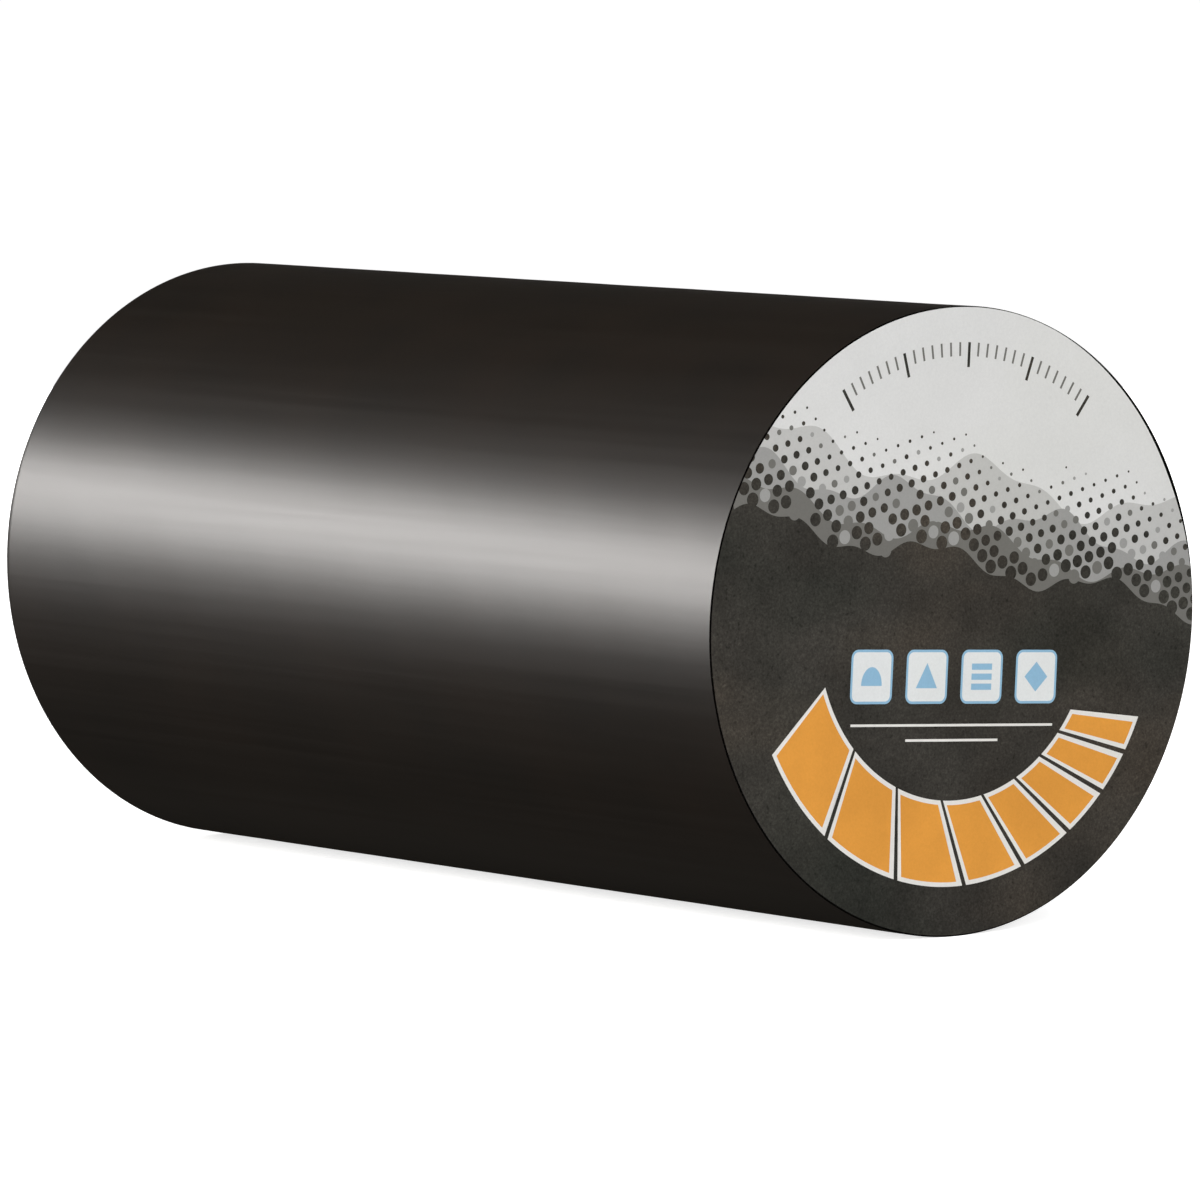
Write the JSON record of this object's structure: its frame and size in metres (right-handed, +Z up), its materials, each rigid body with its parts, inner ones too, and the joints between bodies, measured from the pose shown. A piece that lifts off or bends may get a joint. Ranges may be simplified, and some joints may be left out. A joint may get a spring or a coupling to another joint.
{
  "type": "roll of bitumen flashing tape",
  "caption": "Roll of bitumen flashing tape on its side: satin black film outside, turns and an open bore at its plain end, and a round paper label over the other end.",
  "frame": {"origin": "on the floor under the middle of the roll", "axes": "+Z up, Y along the roll's axis, with the labelled end facing -Y and the plain end with the open bore facing +Y; X across the roll"},
  "size_m": [0.155, 0.3003, 0.1549],
  "materials": {
    "tape_film": "satin",
    "label_paper": "matte"
  },
  "bodies": {
    "root": {"tape_roll": "tape_film", "end_label": "label_paper"}
  },
  "joints": []
}
